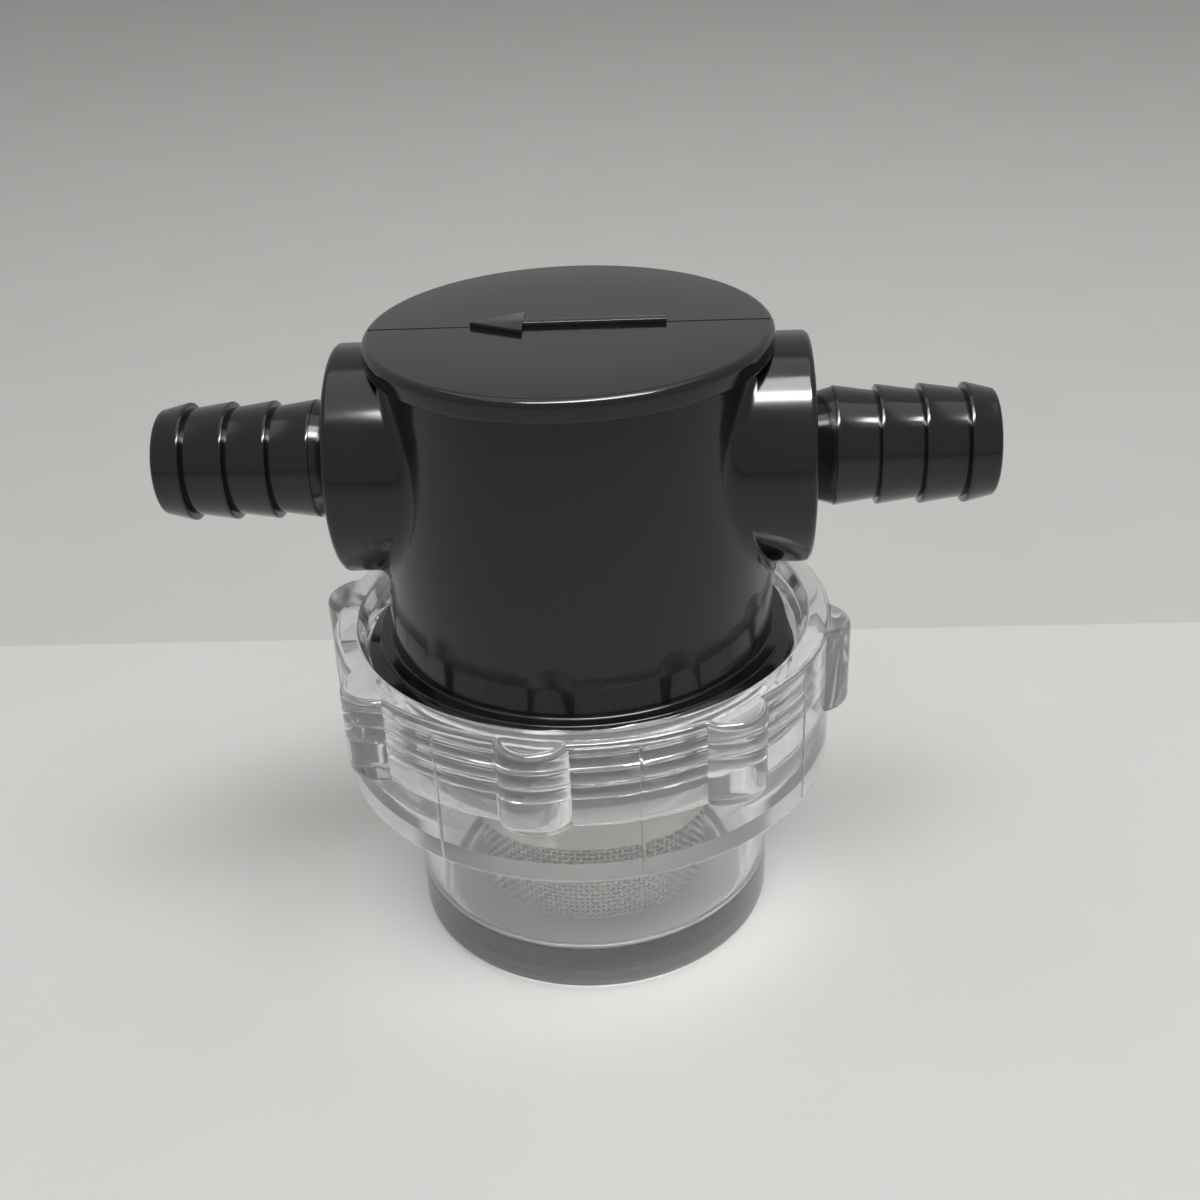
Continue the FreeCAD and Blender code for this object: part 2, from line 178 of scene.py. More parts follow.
# Each sheet's side, in metres: far wider than the view.
SHEET_SIZE = 3

# Hose tails.
BARB_BORE = 4.9
BARB_CREST = 7.0
BARB_ROOT = 6.3
BARB_NECK_RADIUS = 6.2
BARB_NECK = 2.7
BARB_PITCH = 5.05
BARB_LAND = 0.35
BARB_LEAD = 3.65
BARB_LIP = 0.6
BARB_STEP = 0.1
BARB_COUNT = 4
BARB_EDGE_ROUND = 0.14
BARB_BACK_ROUND = 0.2
BORE_ROUND = 0.2
SHOULDER_ROUND = 0.25
SHOULDER_CLEAR = 0.1
NECK_FILLET = 0.3
WASHER_THICK = 1.0
STUB_RADIUS = 10.4
STUB_CHAMFER = 0.8
STUB_CLEAR = 0.1

# Screen: woven wire with a plain strip round its top.
SCREEN_RADIUS = 15.0
SCREEN_LOW = foot_of("screen_mesh")
SCREEN_HIGH = top_of("screen_mesh")
BAND_LOW = foot_of("screen_band")
BAND_HIGH = top_of("screen_band")
BAND_THICK = 0.5
BAND_CLEAR = 0.05
BAND_FOOT_ROUND = 0.15
BAND_TOP_ROUND = 0.45
BAND_LIP_CHAMFER = 0.1
BAND_FOOT_CHAMFER = 0.1
# The wire is thick for its pitch, which gives the weave its dense grey from a distance.
WIRE_PITCH = 0.66
WIRE_THICK = 0.34


# ------------------------------------------------------------------ modelling
def start_object():
    """Leave edit mode and deselect everything, so that an operator meets only what is added next."""
    if bpy.context.object and bpy.context.object.mode != "OBJECT":
        bpy.ops.object.mode_set(mode="OBJECT")
    bpy.ops.object.select_all(action="DESELECT")


def named(name):
    """Name the active object and put its place into its mesh."""
    piece = bpy.context.object
    piece.name = name
    piece.data.name = name
    bpy.ops.object.transform_apply(location=True, rotation=True, scale=True)
    return piece


def only(piece):
    """Make one object the selected and active one."""
    start_object()
    piece.select_set(True)
    bpy.context.view_layer.objects.active = piece


def arc(across, up, radius, start, end, steps=6):
    """Points of a round about a centre, from one angle to another in degrees."""
    points = []
    for step in range(steps + 1):
        angle = math.radians(start + (end - start) * step / steps)
        points.append((across + radius * math.cos(angle), up + radius * math.sin(angle)))
    return points


def ladder(start, end, steps):
    """Points evenly along a straight stretch, both ends included."""
    return [(start[0] + (end[0] - start[0]) * step / steps,
             start[1] + (end[1] - start[1]) * step / steps) for step in range(steps + 1)]


def drawn(places):
    """Draw a line of edges from place to place, and leave it selected in edit mode."""
    start_object()
    bpy.ops.mesh.primitive_plane_add(size=MM, location=places[0])
    bpy.ops.object.mode_set(mode="EDIT")
    bpy.ops.mesh.merge(type="CENTER")
    for before, after in zip(places, places[1:]):
        bpy.ops.mesh.extrude_region_move(TRANSFORM_OT_translate={"value": after - before})
    bpy.ops.mesh.select_all(action="SELECT")
    bpy.ops.mesh.remove_doubles(threshold=WELD * MM)
    bpy.ops.mesh.select_all(action="SELECT")


def turn_faces_out():
    """Turn the selected faces outwards, and leave edit mode."""
    bpy.ops.mesh.normals_make_consistent(inside=False)
    bpy.ops.object.mode_set(mode="OBJECT")


def spun(name, outline, steps=192, along="Z", height=0.0, closed=False):
    """Draw an outline point by point beside its axis, and spin it all the way round.

    A point is (out from the axis, along the axis). The axis is Z, or runs along X
    at a height."""
    if along == "Z":
        places = [Vector((out, 0, level)) * MM for out, level in outline]
        axis = (0, 0, 1)
    else:
        places = [Vector((level, 0, height + out)) * MM for out, level in outline]
        axis = (1, 0, 0)
    if closed:
        places.append(places[0])
    drawn(places)
    bpy.ops.mesh.spin(steps=steps, angle=TURN, center=(0, 0, height * MM), axis=axis)
    bpy.ops.mesh.select_all(action="SELECT")
    bpy.ops.mesh.remove_doubles(threshold=WELD * MM)
    turn_faces_out()
    return named(name)


def smooth(piece, angle=32):
    """Shade a piece smooth, apart from edges sharper than an angle in degrees."""
    only(piece)
    bpy.ops.object.shade_smooth_by_angle(angle=math.radians(angle))
    return piece


def combined(piece, tool, operation):
    """Add or cut one closed piece with another, which is used up."""
    only(piece)
    change = piece.modifiers.new("combine", "BOOLEAN")
    change.operation = operation
    change.solver = "EXACT"
    change.object = tool
    bpy.ops.object.modifier_apply(modifier=change.name)
    bpy.data.objects.remove(tool)
    return piece


def softened(piece, width, segments=3, angle=40):
    """Round the sharp edges of a piece, as a mould's own corners are."""
    only(piece)
    change = piece.modifiers.new("soften", "BEVEL")
    change.width = width * MM
    change.segments = segments
    change.angle_limit = math.radians(angle)
    bpy.ops.object.modifier_apply(modifier=change.name)
    return piece


def fused(name, pieces):
    """Join pieces into one object under a new name."""
    start_object()
    for piece in pieces:
        piece.select_set(True)
    bpy.context.view_layer.objects.active = pieces[0]
    bpy.ops.object.join()
    return named(name)


def turned_copy(piece, degrees):
    """A copy with its own mesh, turned about Z."""
    twin = piece.copy()
    twin.data = piece.data.copy()
    twin.data.transform(Matrix.Rotation(math.radians(degrees), 4, "Z"))
    bpy.context.collection.objects.link(twin)
    return twin


def ridge(angle, level, start, length):
    """How much of a thread's full height stands at an angle and a height, 0 to 1."""
    slope = (THREAD_BASE - THREAD_CREST) / 2
    most = 0.0
    for turn in range(int(length) + 1):
        turns = angle / TURN + turn
        if turns > length:
            continue
        away = abs(level - start - PITCH * turns)
        part = min(1.0, max(0.0, (THREAD_BASE / 2 - away) / slope))
        fade = min(1.0, turns / THREAD_FADE, (length - turns) / THREAD_FADE)
        most = max(most, part * fade)
    return most


def threaded(piece, wall, low, high, start, turns, depth):
    """Raise a helical ridge on a wall, outward for a depth above 0 and inward below."""
    for vertex in piece.data.vertices:
        place = vertex.co
        out = math.hypot(place.x, place.y)
        if abs(out - wall * MM) > NEAR * MM or not low * MM < place.z < high * MM:
            continue
        height = ridge(math.atan2(place.y, place.x) % TURN, place.z / MM, start, turns)
        grown = (wall + depth * height) * MM / out
        place.x *= grown
        place.y *= grown
    return piece


def meshed(name, points, faces):
    """A piece from points in millimetres and faces, which are then turned outwards."""
    start_object()
    mesh = bpy.data.meshes.new(name)
    mesh.from_pydata([Vector(point) * MM for point in points], [], faces)
    piece = bpy.data.objects.new(name, mesh)
    bpy.context.collection.objects.link(piece)
    only(piece)
    bpy.ops.object.mode_set(mode="EDIT")
    bpy.ops.mesh.select_all(action="SELECT")
    turn_faces_out()
    return piece


def grid_piece(name, rows):
    """A closed mesh from rings of points, each ring joined to the next and the last to the first."""
    total = len(rows)
    around = len(rows[0])
    points = [point for row in rows for point in row]
    faces = []
    for row in range(total):
        for column in range(around):
            after = (column + 1) % around
            above = (row + 1) % total
            faces.append((row * around + column, row * around + after,
                          above * around + after, above * around + column))
    return meshed(name, points, faces)


# ------------------------------------------------------------------ finishes
def linear(colour):
    """A hex colour such as #1A2B3C as linear red, green, blue and full alpha."""
    values = []
    for place in (1, 3, 5):
        value = int(colour[place:place + 2], 16) / 255
        values.append(value / 12.92 if value <= 0.04045 else ((value + 0.055) / 1.055) ** 2.4)
    return (*values, 1.0)


def add_node(tree, kind, inputs=None, **settings):
    """Add one node with its settings, and set or link each input that is given."""
    made = tree.nodes.new(kind)
    for name, value in settings.items():
        setattr(made, name, value)
    for name, value in (inputs or {}).items():
        if isinstance(value, bpy.types.NodeSocket):
            tree.links.new(value, made.inputs[name])
        else:
            made.inputs[name].default_value = value
    return made


def new_finish(name):
    """A material with only its output, and the object's own coordinates to pattern it by."""
    material = bpy.data.materials.new(name)
    material.use_nodes = True
    tree = material.node_tree
    tree.nodes.clear()
    place = add_node(tree, "ShaderNodeTexCoord").outputs["Object"]
    return material, tree, place


def per_mm(size):
    """A texture's scale, in metres, for a feature of a size in millimetres."""
    return 1 / (size * MM)


def moulded_black_nylon():
    """Injection-moulded black nylon: deep black with a wet-looking gloss that wavers a
    little where the mould was polished by hand, and faint handling haze."""
    material, tree, place = new_finish("moulded_black_nylon")
    haze = add_node(tree, "ShaderNodeTexNoise", {"Vector": place, "Scale": per_mm(9), "Detail": 3.0})
    rough = add_node(tree, "ShaderNodeMapRange", {
        "Value": haze.outputs["Fac"], "From Min": 0.35, "From Max": 0.7,
        "To Min": 0.1, "To Max": 0.17})
    tone = add_node(tree, "ShaderNodeMix", {
        "Factor": haze.outputs["Fac"], "A": linear("#0F1011"), "B": linear("#151618")},
        data_type="RGBA")
    waver = add_node(tree, "ShaderNodeTexNoise", {"Vector": place, "Scale": per_mm(3), "Detail": 2.0})
    bump = add_node(tree, "ShaderNodeBump", {
        "Height": waver.outputs["Fac"], "Strength": 0.05, "Distance": 0.1 * MM})
    shader = add_node(tree, "ShaderNodeBsdfPrincipled", {
        "Base Color": tone.outputs["Result"], "Roughness": rough.outputs["Result"],
        "Normal": bump.outputs["Normal"], "IOR": 1.5})
    add_node(tree, "ShaderNodeOutputMaterial", {"Surface": shader.outputs["BSDF"]})
    return material


def clear_moulded_polycarbonate():
    """Clear injection-moulded polycarbonate: bright and a little wavy, with fine handling
    scuffs that catch the light.

    A share of plain scatter gives it a slight haze. Light passes straight through it to
    what it shades, so that its shadow is as thin as a clear moulding's."""
    material, tree, place = new_finish("clear_moulded_polycarbonate")
    scuff = add_node(tree, "ShaderNodeTexNoise", {"Vector": place, "Scale": per_mm(5), "Detail": 4.0})
    rough = add_node(tree, "ShaderNodeMapRange", {
        "Value": scuff.outputs["Fac"], "From Min": 0.4, "From Max": 0.75,
        "To Min": 0.02, "To Max": 0.07})
    waver = add_node(tree, "ShaderNodeTexNoise", {"Vector": place, "Scale": per_mm(6), "Detail": 1.0})
    bump = add_node(tree, "ShaderNodeBump", {
        "Height": waver.outputs["Fac"], "Strength": 0.25, "Distance": 0.12 * MM})
    shader = add_node(tree, "ShaderNodeBsdfPrincipled", {
        "Base Color": linear("#FDFEFD"), "Roughness": rough.outputs["Result"],
        "Normal": bump.outputs["Normal"], "IOR": 1.585, "Transmission Weight": 0.89})
    passing = add_node(tree, "ShaderNodeBsdfTransparent", {"Color": linear("#FBFBFB")})
    ray = add_node(tree, "ShaderNodeLightPath")
    surface = add_node(tree, "ShaderNodeMixShader", {"Fac": ray.outputs["Is Shadow Ray"]})
    tree.links.new(shader.outputs["BSDF"], surface.inputs[1])
    tree.links.new(passing.outputs["BSDF"], surface.inputs[2])
    add_node(tree, "ShaderNodeOutputMaterial", {"Surface": surface.outputs["Shader"]})
    return material


def nitrile_rubber():
    """Moulded black nitrile rubber: dull, with a faint bloom."""
    material, tree, place = new_finish("nitrile_rubber")
    bloom = add_node(tree, "ShaderNodeTexNoise", {"Vector": place, "Scale": per_mm(2), "Detail": 3.0})
    tone = add_node(tree, "ShaderNodeMix", {
        "Factor": bloom.outputs["Fac"], "A": linear("#161616"), "B": linear("#262626")},
        data_type="RGBA")
    shader = add_node(tree, "ShaderNodeBsdfPrincipled", {
        "Base Color": tone.outputs["Result"], "Roughness": 0.6})
    add_node(tree, "ShaderNodeOutputMaterial", {"Surface": shader.outputs["BSDF"]})
    return material


def stainless_wire():
    """Drawn stainless wire, woven and pickled: grey metal with a soft glint on each bend.

    Its tone drifts a little from place to place, as pickling leaves it."""
    material, tree, place = new_finish("drawn_stainless_wire")
    grey = add_node(tree, "ShaderNodeTexNoise", {"Vector": place, "Scale": per_mm(4), "Detail": 2.0})
    tone = add_node(tree, "ShaderNodeMix", {
        "Factor": grey.outputs["Fac"], "A": linear("#8F8E8B"), "B": linear("#B2B1AD")},
        data_type="RGBA")
    shader = add_node(tree, "ShaderNodeBsdfPrincipled", {
        "Base Color": tone.outputs["Result"], "Metallic": 1.0, "Roughness": 0.32})
    add_node(tree, "ShaderNodeOutputMaterial", {"Surface": shader.outputs["BSDF"]})
    return material


def stainless_strip():
    """Cold-rolled stainless strip, mill finish: dull grey with fine rolling lines round it.

    Real rolling lines are finer. They are drawn a quarter of a millimetre apart, as coarse
    as they need to be to show."""
    material, tree, place = new_finish("rolled_stainless_strip")
    stretched = add_node(tree, "ShaderNodeMapping", {"Vector": place, "Scale": (0.03, 0.03, 1.0)})
    lines = add_node(tree, "ShaderNodeTexNoise", {
        "Vector": stretched.outputs["Vector"], "Scale": per_mm(0.25), "Detail": 2.0})
    rough = add_node(tree, "ShaderNodeMapRange", {
        "Value": lines.outputs["Fac"], "From Min": 0.3, "From Max": 0.7,
        "To Min": 0.34, "To Max": 0.46})
    shader = add_node(tree, "ShaderNodeBsdfPrincipled", {
        "Base Color": linear("#B4B3AF"), "Metallic": 1.0, "Roughness": rough.outputs["Result"]})
    add_node(tree, "ShaderNodeOutputMaterial", {"Surface": shader.outputs["BSDF"]})
    return material


def matt_sheet(name, low, high):
    """A matt pale sheet, its tone a little uneven between two colours."""
    material, tree, place = new_finish(name)
    fibre = add_node(tree, "ShaderNodeTexNoise", {"Vector": place, "Scale": per_mm(30), "Detail": 4.0})
    tone = add_node(tree, "ShaderNodeMix", {
        "Factor": fibre.outputs["Fac"], "A": linear(low), "B": linear(high)},
        data_type="RGBA")
    shader = add_node(tree, "ShaderNodeBsdfPrincipled", {
        "Base Color": tone.outputs["Result"], "Roughness": 0.7})
    add_node(tree, "ShaderNodeOutputMaterial", {"Surface": shader.outputs["BSDF"]})
    return material


NYLON = moulded_black_nylon()
CLEAR = clear_moulded_polycarbonate()
RUBBER = nitrile_rubber()
WIRE = stainless_wire()
STRIP = stainless_strip()


def dressed(piece, material, body, slot, *nodes):
    """Give a finished piece its material, its CAD body and the nodes it stands for; its slot is not
    used.
    """
    piece.data.materials.clear()
    piece.data.materials.append(material)
    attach(piece, body)
    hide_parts(*nodes)
    return piece


# ------------------------------------------------------------------ bowl
def bowl_outline():
    """The bowl's half section, from the middle of its foot round to the middle of its floor."""
    mouth = NUT_ROOT + MOUTH_FLARE
    outline = [(0, 0)]
    outline += arc(CUP_RADIUS - FOOT_ROUND, FOOT_ROUND, FOOT_ROUND, -90, 0, 8)
    outline += ladder((CUP_RADIUS, FOOT_ROUND + CUP_INSET), (CUP_RADIUS, COLLAR_LOW - CUP_INSET), 8)
    outline += arc(CUP_RADIUS + NECK_ROUND, COLLAR_LOW - NECK_ROUND, NECK_ROUND, 180, 90, 4)
    outline += arc(COLLAR_RADIUS - COLLAR_ROUND, COLLAR_LOW + COLLAR_ROUND, COLLAR_ROUND, -90, 0, 6)
    outline += ladder((COLLAR_RADIUS, COLLAR_LOW + COLLAR_INSET),
                      (COLLAR_RADIUS, COLLAR_HIGH - COLLAR_INSET), 8)
    outline += arc(COLLAR_RADIUS - COLLAR_ROUND, COLLAR_HIGH - COLLAR_ROUND, COLLAR_ROUND, 0, 90, 6)
    outline += arc(mouth + MOUTH_ROUND, COLLAR_HIGH - MOUTH_ROUND, MOUTH_ROUND, 90, 180, 4)
    # The many rows of this stretch carry the thread's ridge.
    outline += ladder((NUT_ROOT, COLLAR_HIGH - MOUTH_DEPTH),
                      (NUT_ROOT, SHELF_HIGH + NUT_ROWS_FROM), 90)
    outline += [(NUT_ROOT, SHELF_HIGH + NUT_PLAIN_ROW)]
    outline += arc(NUT_ROOT - SHELF_ROUND, SHELF_HIGH + SHELF_ROUND, SHELF_ROUND, 0, -90, 3)
    outline += arc(CUP_BORE + SHELF_LIP_ROUND, SHELF_HIGH - SHELF_LIP_ROUND, SHELF_LIP_ROUND,
                   90, 180, 4)
    outline += ladder((CUP_BORE, SHELF_HIGH - COLLAR_INSET),
                      (CUP_BORE, BASE_THICK + FLOOR_ROUND + CUP_INSET), 10)
    outline += arc(CUP_BORE - FLOOR_ROUND, BASE_THICK + FLOOR_ROUND, FLOOR_ROUND, 0, -90, 8)
    outline += [(0, BASE_THICK)]
    return outline


def grip_lug():
    """One half-round lug: a short bar with softened ends, cut off flat inside the wall."""
    start_object()
    deep = COLLAR_HIGH - LUG_LOW
    bpy.ops.mesh.primitive_cylinder_add(vertices=64, radius=LUG_BULGE * MM, depth=deep * MM,
                                        location=(LUG_CENTRE * MM, 0, (LUG_LOW + deep / 2) * MM))
    lug = named("lug")
    softened(lug, LUG_ROUND, 5, 60)
    only(lug)
    bpy.ops.object.mode_set(mode="EDIT")
    bpy.ops.mesh.select_all(action="SELECT")
    wall_middle = (NUT_ROOT + COLLAR_RADIUS) / 2
    bpy.ops.mesh.bisect(plane_co=(wall_middle * MM, 0, 0), plane_no=(1, 0, 0),
                        use_fill=True, clear_inner=True, clear_outer=False)
    bpy.ops.object.mode_set(mode="OBJECT")
    return lug


def mould_line():
    """One fine upright line that the mould's joint leaves on the collar."""
    start_object()
    deep = COLLAR_HIGH - COLLAR_LOW - COLLAR_ROUND * 2
    bpy.ops.mesh.primitive_cube_add(
        size=1,
        location=((COLLAR_RADIUS - RIB_SINK / 2) * MM, 0, (COLLAR_LOW + COLLAR_HIGH) / 2 * MM),
        scale=((RIB_SINK + RIB_RISE * 2) * MM, RIB_WIDTH * MM, deep * MM))
    return softened(named("mould_line"), RIB_ROUND, 2, 40)


def build_bowl():
    """The clear bowl: cup and collar spun in one, its thread, eight lugs and the lines between."""
    bowl = spun("clear_bowl", bowl_outline(), 256)
    threaded(bowl, NUT_ROOT, SHELF_HIGH + (NUT_PLAIN_ROW + NUT_ROWS_FROM) / 2,
             COLLAR_HIGH - MOUTH_DEPTH - MOUTH_MARGIN,
             BOWL_THREAD_START, BOWL_THREAD_TURNS, -THREAD_DEPTH)
    lug = grip_lug()
    line = mould_line()
    added = []
    for number in range(LUG_COUNT):
        angle = LUG_PHASE + number * 360 / LUG_COUNT
        added.append(turned_copy(lug, angle))
        added.append(turned_copy(line, angle + 180 / LUG_COUNT))
    bpy.data.objects.remove(lug)
    bpy.data.objects.remove(line)
    combined(bowl, fused("lugs", added), "UNION")
    smooth(bowl, 34)
    dressed(bowl, CLEAR, "bowl", "clear_polycarbonate", "bowl")


# ------------------------------------------------------------------ head
def body_radius(level):
    """The head's outside: nearly upright below the waist, then a taper to the lid."""
    low_slope = (BODY_WAIST_RADIUS - BODY_FOOT_RADIUS) / (BODY_WAIST_HIGH - SKIRT_HIGH)
    high_slope = ((BODY_NECK_RADIUS - BODY_WAIST_RADIUS)
                  / (HEAD_HIGH - LID_THICK - BODY_WAIST_HIGH))
    up = level - BODY_WAIST_HIGH
    bend = WAIST_BLEND * math.log(1 + math.exp(up / WAIST_BLEND))
    return BODY_WAIST_RADIUS + low_slope * up + (high_slope - low_slope) * bend


def head_outline():
    """The head's half section, from the middle of the chamber's roof round to the middle of the lid."""
    roof = HEAD_HIGH - ROOF_THICK
    lid_low = HEAD_HIGH - LID_THICK
    inside = CHAMBER_RADIUS - CHAMBER_DRAFT
    outline = [(0, roof)]
    outline += arc(inside - ROOF_ROUND, roof - ROOF_ROUND, ROOF_ROUND, 90, 0, 6)
    outline += [(CHAMBER_RADIUS, PILOT_LOW + EDGE_ROUND)]
    outline += [(CHAMBER_RADIUS + EDGE_ROUND, PILOT_LOW)]
    outline += arc(PILOT_RADIUS - EDGE_ROUND, PILOT_LOW + EDGE_ROUND, EDGE_ROUND, -90, 0, 3)
    outline += [(PILOT_RADIUS, SKIRT_LOW)]
    outline += arc(HEAD_ROOT - EDGE_ROUND, SKIRT_LOW + EDGE_ROUND, EDGE_ROUND, -90, 0, 3)
    # The many rows of this stretch carry the thread's ridge.
    outline += ladder((HEAD_ROOT, SKIRT_LOW + SKIRT_ROWS_FROM),
                      (HEAD_ROOT, SKIRT_HIGH - SKIRT_ROWS_TO), 78)
    outline += arc(HEAD_ROOT - ROOT_ROUND, SKIRT_HIGH - ROOT_ROUND, ROOT_ROUND, 0, 90, 3)
    body_low = SKIRT_HIGH + EDGE_ROUND
    outline += arc(body_radius(body_low) + EDGE_ROUND, body_low, EDGE_ROUND, -90, -180, 4)
    steps = 24
    for step in range(1, steps + 1):
        level = body_low + (lid_low - SKIRT_HIGH - EDGE_ROUND) * step / steps
        outline.append((body_radius(level), level))
    outline += arc(LID_RADIUS - LID_UNDER_ROUND, lid_low + LID_UNDER_ROUND, LID_UNDER_ROUND, -90, 0, 3)
    outline += arc(LID_RADIUS - LID_ROUND, HEAD_HIGH - LID_ROUND, LID_ROUND, 0, 90, 8)
    outline += [(LID_RADIUS * 0.6, HEAD_HIGH), (0, HEAD_HIGH)]
    return outline


def port_cutter():
    """The way that the water takes through the head's wall, side to side."""
    start_object()
    bpy.ops.mesh.primitive_cylinder_add(vertices=96, radius=(SOCKET_RADIUS + WAY_CLEAR) * MM,
                                        depth=WAY_LENGTH * MM, location=(0, 0, PORT_HIGH * MM),
                                        rotation=(0, math.pi / 2, 0))
    return named("port_cutter")


def boss(name, side, around=144):
    """A round boss whose foot runs into the body in a fillet, with its socket and recess."""
    rows = []
    parts = 8
    for part in range(-1, parts + 1):
        turn = max(0, part) / parts * math.pi / 2
        out = BOSS_RADIUS + BOSS_FILLET * (1 - math.sin(turn))
        lift = BOSS_FILLET * (1 - math.cos(turn)) if part >= 0 else -BOSS_SINK
        rows.append([])
        for column in range(around):
            angle = TURN * column / around
            y = out * math.cos(angle)
            z = PORT_HIGH + out * math.sin(angle)
            x = math.sqrt(body_radius(min(z, HEAD_HIGH - LID_THICK)) ** 2 - y * y) + lift
            rows[-1].append((x * side, y, z))
    section = arc(BOSS_RADIUS - BOSS_ROUND, BOSS_REACH - BOSS_ROUND, BOSS_ROUND, 0, 90, 6)
    section += [(RECESS_RADIUS + RECESS_CHAMFER, BOSS_REACH),
                (RECESS_RADIUS, BOSS_REACH - RECESS_CHAMFER),
                (RECESS_RADIUS, BOSS_REACH - RECESS_DEPTH),
                (SOCKET_RADIUS, BOSS_REACH - RECESS_DEPTH),
                (SOCKET_RADIUS, BOSS_REACH - SOCKET_DEPTH),
                (SOCKET_RADIUS + SOCKET_LEDGE, BOSS_REACH - SOCKET_DEPTH)]
    for out, along in section:
        rows.append([(along * side, out * math.cos(TURN * column / around),
                      PORT_HIGH + out * math.sin(TURN * column / around))
                     for column in range(around)])
    return grid_piece(name, rows)


def flow_arrow():
    """The raised arrow on the lid, its tip to the outlet: drawn as an outline, filled and raised."""
    half = ARROW_LENGTH / 2
    neck = ARROW_TIP - half
    corners = [(-half, 0), (neck, -ARROW_SPAN / 2), (neck, -ARROW_STEM / 2), (half, -ARROW_STEM / 2),
               (half, ARROW_STEM / 2), (neck, ARROW_STEM / 2), (neck, ARROW_SPAN / 2), (-half, 0)]
    drawn([Vector((x, y, HEAD_HIGH - ARROW_SINK)) * MM for x, y in corners])
    bpy.ops.mesh.edge_face_add()
    bpy.ops.mesh.extrude_region_move(
        TRANSFORM_OT_translate={"value": (0, 0, (ARROW_RISE + ARROW_SINK) * MM)})
    bpy.ops.mesh.select_all(action="SELECT")
    turn_faces_out()
    return softened(named("flow_arrow"), ARROW_ROUND, 3, 30)


def lid_mould_line():
    """The fine line across the lid where the mould's two halves met."""
    reach = LID_RADIUS - LID_ROUND * LINE_INSET
    start_object()
    bpy.ops.mesh.primitive_cube_add(
        size=1, location=(0, 0, (HEAD_HIGH - LINE_SINK) * MM),
        scale=(reach * 2 * MM, LINE_WIDTH * MM, LINE_HEIGHT * MM))
    return softened(named("lid_mould_line"), LINE_ROUND, 2, 40)


def build_head():
    """The black head: body and lid spun in one, thread, bosses, duct, arrow and mould line."""
    body = spun("head_body", head_outline(), 256)
    threaded(body, HEAD_ROOT, SKIRT_LOW + EDGE_ROUND * 2, SKIRT_HIGH - ROOT_ROUND,
             HEAD_THREAD_START, HEAD_THREAD_TURNS, THREAD_DEPTH)
    combined(body, port_cutter(), "DIFFERENCE")
    smooth(body, 34)
    duct_bore = DUCT_RADIUS - DUCT_WALL
    duct_high = HEAD_HIGH - ROOF_THICK + DUCT_SINK
    duct = spun("duct", [(DUCT_RADIUS, DUCT_LOW + EDGE_ROUND), (DUCT_RADIUS, duct_high),
                         (duct_bore, duct_high), (duct_bore, DUCT_LOW + EDGE_ROUND),
                         (duct_bore + EDGE_ROUND, DUCT_LOW), (DUCT_RADIUS - EDGE_ROUND, DUCT_LOW)],
                96, closed=True)
    pieces = [body, smooth(boss("inlet_boss", 1), 40), smooth(boss("outlet_boss", -1), 40),
              smooth(duct), smooth(flow_arrow(), 30), smooth(lid_mould_line(), 30)]
    for piece in pieces:
        dressed(piece, NYLON, "head", "black_nylon", "head")


# ------------------------------------------------------------------ hose tails
def tail_outline():
    """A barbed tail's half section: out from its axis, and along from the boss's face."""
    foot = RECESS_DEPTH - SOCKET_DEPTH + STUB_CLEAR - WASHER_THICK
    shoulder = RECESS_RADIUS - SHOULDER_CLEAR
    outline = [(BARB_BORE, foot), (STUB_RADIUS - STUB_CHAMFER, foot),
               (STUB_RADIUS, foot + STUB_CHAMFER),
               (STUB_RADIUS, -WASHER_THICK), (shoulder, -WASHER_THICK)]
    outline += arc(shoulder - SHOULDER_ROUND, -SHOULDER_ROUND, SHOULDER_ROUND, 0, 90, 3)
    outline += arc(BARB_NECK_RADIUS + NECK_FILLET, NECK_FILLET, NECK_FILLET, 270, 180, 3)
    for number in range(BARB_COUNT):
        start = BARB_NECK + BARB_PITCH * number
        outline += arc(BARB_CREST - BARB_EDGE_ROUND, start + BARB_EDGE_ROUND, BARB_EDGE_ROUND,
                       -90, 0, 3)
        outline += arc(BARB_CREST - BARB_BACK_ROUND, start + BARB_LAND, BARB_BACK_ROUND, 0, 30, 2)
        if number < BARB_COUNT - 1:
            outline += [(BARB_ROOT, start + BARB_PITCH - BARB_STEP)]
    tip = BARB_NECK + BARB_PITCH * (BARB_COUNT - 1) + BARB_LEAD
    outline += arc(BARB_ROOT - BARB_LIP, tip - BARB_LIP, BARB_LIP, 0, 90, 5)
    outline += arc(BARB_BORE + BORE_ROUND, tip - BORE_ROUND, BORE_ROUND, 90, 180, 3)
    return outline


def build_tails():
    """The two barbed tails, the same outline spun about the ports' axis to either side."""
    for word, side in (("inlet", 1), ("outlet", -1)):
        outline = [(out, (BOSS_REACH + along) * side) for out, along in tail_outline()]
        tail = spun(word + "_barbed_tail", outline, 128, "X", PORT_HIGH, closed=True)
        dressed(smooth(tail, 30), NYLON, "head", "black_nylon", word + "_hose_tail")


# ------------------------------------------------------------------ seals
def build_seals():
    """The ring that seals the bowl, and a rubber finish for the CAD's own two washers."""
    low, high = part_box("bowl_seal")
    section = (high.z - low.z) / 2
    start_object()
    bpy.ops.mesh.primitive_torus_add(major_radius=high.x - section, minor_radius=section,
                                     major_segments=192, minor_segments=24,
                                     location=(0, 0, low.z + section))
    ring = named("seal_ring")
    dressed(smooth(ring, 60), RUBBER, "seal", "black_rubber", "bowl_seal")
    for node in ("inlet_washer", "outlet_washer"):
        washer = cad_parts[node]
        washer.data.materials.clear()
        washer.data.materials.append(RUBBER)


